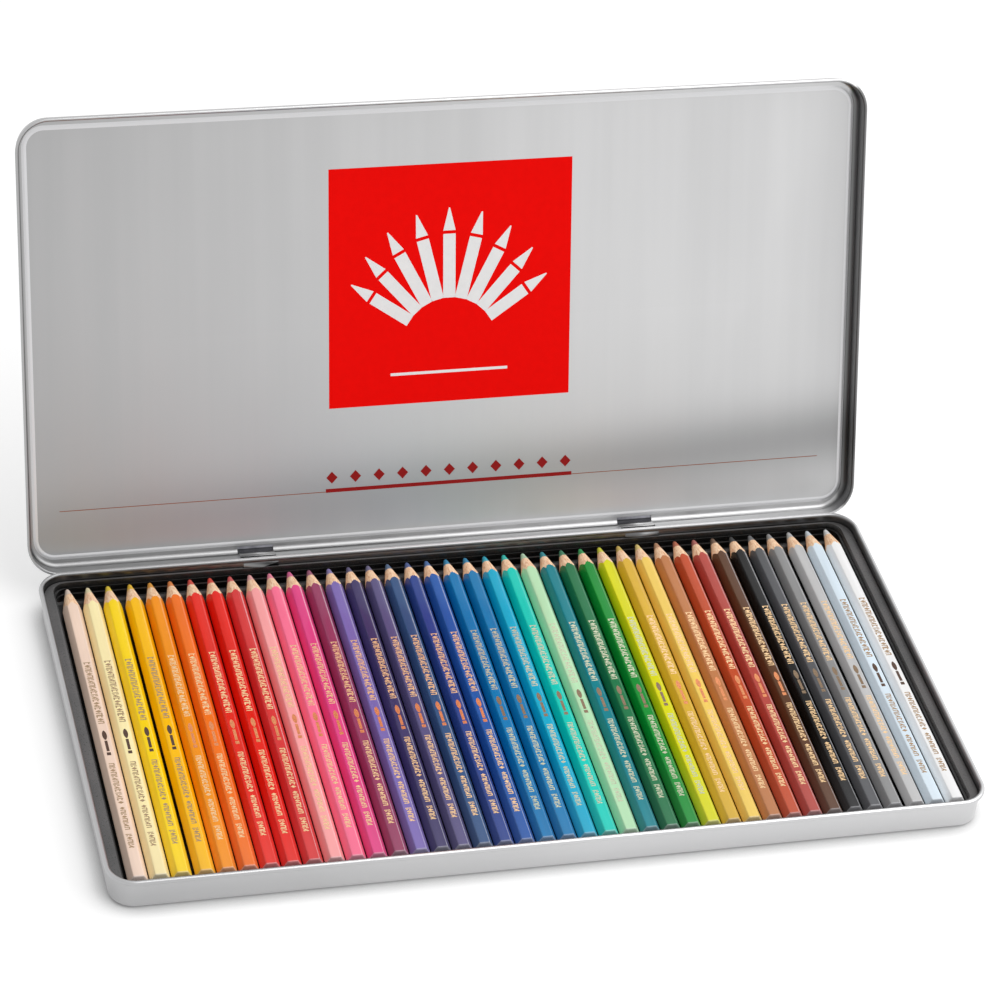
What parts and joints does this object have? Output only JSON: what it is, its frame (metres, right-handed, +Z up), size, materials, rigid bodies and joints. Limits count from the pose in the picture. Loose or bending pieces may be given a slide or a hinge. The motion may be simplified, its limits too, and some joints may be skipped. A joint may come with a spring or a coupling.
{
  "type": "hinged pencil tin",
  "caption": "Flat tinplate pencil tin with a hinged lid that leans back open, a black moulded insert and a row of loose hexagonal coloured pencils.",
  "frame": {"origin": "centre of the base's flat underside", "axes": "+X along the width, to the right seen from the front; +Y to the rear, where the hinge is and the pencils point; +Z up"},
  "size_m": [0.3538, 0.259, 0.1893],
  "materials": {
    "tinplate_base": "satin tinplate",
    "tinplate_lid": "satin tinplate",
    "hinge_steel": "dark blued steel",
    "insert": "satin black",
    "lacquer_01": "gloss lacquer",
    "lacquer_02": "gloss lacquer",
    "lacquer_03": "gloss lacquer",
    "lacquer_04": "gloss lacquer",
    "lacquer_05": "gloss lacquer",
    "lacquer_06": "gloss lacquer",
    "lacquer_07": "gloss lacquer",
    "lacquer_08": "gloss lacquer",
    "lacquer_09": "gloss lacquer",
    "lacquer_10": "gloss lacquer",
    "lacquer_11": "gloss lacquer",
    "lacquer_12": "gloss lacquer",
    "lacquer_13": "gloss lacquer",
    "lacquer_14": "gloss lacquer",
    "lacquer_15": "gloss lacquer",
    "lacquer_16": "gloss lacquer",
    "lacquer_17": "gloss lacquer",
    "lacquer_18": "gloss lacquer",
    "lacquer_19": "gloss lacquer",
    "lacquer_20": "gloss lacquer",
    "lacquer_21": "gloss lacquer",
    "lacquer_22": "gloss lacquer",
    "lacquer_23": "gloss lacquer",
    "lacquer_24": "gloss lacquer",
    "lacquer_25": "gloss lacquer",
    "lacquer_26": "gloss lacquer",
    "lacquer_27": "gloss lacquer",
    "lacquer_28": "gloss lacquer",
    "lacquer_29": "gloss lacquer",
    "lacquer_30": "gloss lacquer",
    "lacquer_31": "gloss lacquer",
    "lacquer_32": "gloss lacquer",
    "lacquer_33": "gloss lacquer",
    "lacquer_34": "gloss lacquer",
    "lacquer_35": "gloss lacquer",
    "lacquer_36": "gloss lacquer",
    "lacquer_37": "gloss lacquer",
    "lacquer_38": "gloss lacquer",
    "lacquer_39": "gloss lacquer",
    "lacquer_40": "gloss lacquer"
  },
  "bodies": {
    "base": {"base_shell": "tinplate_base"},
    "lid": {"lid_shell": "tinplate_lid", "hinge_leaves": "hinge_steel"},
    "tray": {"insert_tray": "insert"},
    "pencil_01": {"pencil_01": "lacquer_01"},
    "pencil_02": {"pencil_02": "lacquer_02"},
    "pencil_03": {"pencil_03": "lacquer_03"},
    "pencil_04": {"pencil_04": "lacquer_04"},
    "pencil_05": {"pencil_05": "lacquer_05"},
    "pencil_06": {"pencil_06": "lacquer_06"},
    "pencil_07": {"pencil_07": "lacquer_07"},
    "pencil_08": {"pencil_08": "lacquer_08"},
    "pencil_09": {"pencil_09": "lacquer_09"},
    "pencil_10": {"pencil_10": "lacquer_10"},
    "pencil_11": {"pencil_11": "lacquer_11"},
    "pencil_12": {"pencil_12": "lacquer_12"},
    "pencil_13": {"pencil_13": "lacquer_13"},
    "pencil_14": {"pencil_14": "lacquer_14"},
    "pencil_15": {"pencil_15": "lacquer_15"},
    "pencil_16": {"pencil_16": "lacquer_16"},
    "pencil_17": {"pencil_17": "lacquer_17"},
    "pencil_18": {"pencil_18": "lacquer_18"},
    "pencil_19": {"pencil_19": "lacquer_19"},
    "pencil_20": {"pencil_20": "lacquer_20"},
    "pencil_21": {"pencil_21": "lacquer_21"},
    "pencil_22": {"pencil_22": "lacquer_22"},
    "pencil_23": {"pencil_23": "lacquer_23"},
    "pencil_24": {"pencil_24": "lacquer_24"},
    "pencil_25": {"pencil_25": "lacquer_25"},
    "pencil_26": {"pencil_26": "lacquer_26"},
    "pencil_27": {"pencil_27": "lacquer_27"},
    "pencil_28": {"pencil_28": "lacquer_28"},
    "pencil_29": {"pencil_29": "lacquer_29"},
    "pencil_30": {"pencil_30": "lacquer_30"},
    "pencil_31": {"pencil_31": "lacquer_31"},
    "pencil_32": {"pencil_32": "lacquer_32"},
    "pencil_33": {"pencil_33": "lacquer_33"},
    "pencil_34": {"pencil_34": "lacquer_34"},
    "pencil_35": {"pencil_35": "lacquer_35"},
    "pencil_36": {"pencil_36": "lacquer_36"},
    "pencil_37": {"pencil_37": "lacquer_37"},
    "pencil_38": {"pencil_38": "lacquer_38"},
    "pencil_39": {"pencil_39": "lacquer_39"},
    "pencil_40": {"pencil_40": "lacquer_40"}
  },
  "joints": [
    {"name": "lid_hinge", "type": "hinge", "parent": "base", "child": "lid", "pos_m": [0, 0.09605, 0.0091], "axis": [-1, 0, 0], "range_deg": [-110, 0]},
    {"name": "tray_lift", "type": "slide", "parent": "base", "child": "tray", "axis": [0, 0, 1], "range_m": [0, 0.04]},
    {"name": "pencil_01_lift", "type": "slide", "parent": "tray", "child": "pencil_01", "axis": [0, 0, 1], "range_m": [0, 0.03]},
    {"name": "pencil_02_lift", "type": "slide", "parent": "tray", "child": "pencil_02", "axis": [0, 0, 1], "range_m": [0, 0.03]},
    {"name": "pencil_03_lift", "type": "slide", "parent": "tray", "child": "pencil_03", "axis": [0, 0, 1], "range_m": [0, 0.03]},
    {"name": "pencil_04_lift", "type": "slide", "parent": "tray", "child": "pencil_04", "axis": [0, 0, 1], "range_m": [0, 0.03]},
    {"name": "pencil_05_lift", "type": "slide", "parent": "tray", "child": "pencil_05", "axis": [0, 0, 1], "range_m": [0, 0.03]},
    {"name": "pencil_06_lift", "type": "slide", "parent": "tray", "child": "pencil_06", "axis": [0, 0, 1], "range_m": [0, 0.03]},
    {"name": "pencil_07_lift", "type": "slide", "parent": "tray", "child": "pencil_07", "axis": [0, 0, 1], "range_m": [0, 0.03]},
    {"name": "pencil_08_lift", "type": "slide", "parent": "tray", "child": "pencil_08", "axis": [0, 0, 1], "range_m": [0, 0.03]},
    {"name": "pencil_09_lift", "type": "slide", "parent": "tray", "child": "pencil_09", "axis": [0, 0, 1], "range_m": [0, 0.03]},
    {"name": "pencil_10_lift", "type": "slide", "parent": "tray", "child": "pencil_10", "axis": [0, 0, 1], "range_m": [0, 0.03]},
    {"name": "pencil_11_lift", "type": "slide", "parent": "tray", "child": "pencil_11", "axis": [0, 0, 1], "range_m": [0, 0.03]},
    {"name": "pencil_12_lift", "type": "slide", "parent": "tray", "child": "pencil_12", "axis": [0, 0, 1], "range_m": [0, 0.03]},
    {"name": "pencil_13_lift", "type": "slide", "parent": "tray", "child": "pencil_13", "axis": [0, 0, 1], "range_m": [0, 0.03]},
    {"name": "pencil_14_lift", "type": "slide", "parent": "tray", "child": "pencil_14", "axis": [0, 0, 1], "range_m": [0, 0.03]},
    {"name": "pencil_15_lift", "type": "slide", "parent": "tray", "child": "pencil_15", "axis": [0, 0, 1], "range_m": [0, 0.03]},
    {"name": "pencil_16_lift", "type": "slide", "parent": "tray", "child": "pencil_16", "axis": [0, 0, 1], "range_m": [0, 0.03]},
    {"name": "pencil_17_lift", "type": "slide", "parent": "tray", "child": "pencil_17", "axis": [0, 0, 1], "range_m": [0, 0.03]},
    {"name": "pencil_18_lift", "type": "slide", "parent": "tray", "child": "pencil_18", "axis": [0, 0, 1], "range_m": [0, 0.03]},
    {"name": "pencil_19_lift", "type": "slide", "parent": "tray", "child": "pencil_19", "axis": [0, 0, 1], "range_m": [0, 0.03]},
    {"name": "pencil_20_lift", "type": "slide", "parent": "tray", "child": "pencil_20", "axis": [0, 0, 1], "range_m": [0, 0.03]},
    {"name": "pencil_21_lift", "type": "slide", "parent": "tray", "child": "pencil_21", "axis": [0, 0, 1], "range_m": [0, 0.03]},
    {"name": "pencil_22_lift", "type": "slide", "parent": "tray", "child": "pencil_22", "axis": [0, 0, 1], "range_m": [0, 0.03]},
    {"name": "pencil_23_lift", "type": "slide", "parent": "tray", "child": "pencil_23", "axis": [0, 0, 1], "range_m": [0, 0.03]},
    {"name": "pencil_24_lift", "type": "slide", "parent": "tray", "child": "pencil_24", "axis": [0, 0, 1], "range_m": [0, 0.03]},
    {"name": "pencil_25_lift", "type": "slide", "parent": "tray", "child": "pencil_25", "axis": [0, 0, 1], "range_m": [0, 0.03]},
    {"name": "pencil_26_lift", "type": "slide", "parent": "tray", "child": "pencil_26", "axis": [0, 0, 1], "range_m": [0, 0.03]},
    {"name": "pencil_27_lift", "type": "slide", "parent": "tray", "child": "pencil_27", "axis": [0, 0, 1], "range_m": [0, 0.03]},
    {"name": "pencil_28_lift", "type": "slide", "parent": "tray", "child": "pencil_28", "axis": [0, 0, 1], "range_m": [0, 0.03]},
    {"name": "pencil_29_lift", "type": "slide", "parent": "tray", "child": "pencil_29", "axis": [0, 0, 1], "range_m": [0, 0.03]},
    {"name": "pencil_30_lift", "type": "slide", "parent": "tray", "child": "pencil_30", "axis": [0, 0, 1], "range_m": [0, 0.03]},
    {"name": "pencil_31_lift", "type": "slide", "parent": "tray", "child": "pencil_31", "axis": [0, 0, 1], "range_m": [0, 0.03]},
    {"name": "pencil_32_lift", "type": "slide", "parent": "tray", "child": "pencil_32", "axis": [0, 0, 1], "range_m": [0, 0.03]},
    {"name": "pencil_33_lift", "type": "slide", "parent": "tray", "child": "pencil_33", "axis": [0, 0, 1], "range_m": [0, 0.03]},
    {"name": "pencil_34_lift", "type": "slide", "parent": "tray", "child": "pencil_34", "axis": [0, 0, 1], "range_m": [0, 0.03]},
    {"name": "pencil_35_lift", "type": "slide", "parent": "tray", "child": "pencil_35", "axis": [0, 0, 1], "range_m": [0, 0.03]},
    {"name": "pencil_36_lift", "type": "slide", "parent": "tray", "child": "pencil_36", "axis": [0, 0, 1], "range_m": [0, 0.03]},
    {"name": "pencil_37_lift", "type": "slide", "parent": "tray", "child": "pencil_37", "axis": [0, 0, 1], "range_m": [0, 0.03]},
    {"name": "pencil_38_lift", "type": "slide", "parent": "tray", "child": "pencil_38", "axis": [0, 0, 1], "range_m": [0, 0.03]},
    {"name": "pencil_39_lift", "type": "slide", "parent": "tray", "child": "pencil_39", "axis": [0, 0, 1], "range_m": [0, 0.03]},
    {"name": "pencil_40_lift", "type": "slide", "parent": "tray", "child": "pencil_40", "axis": [0, 0, 1], "range_m": [0, 0.03]}
  ]
}
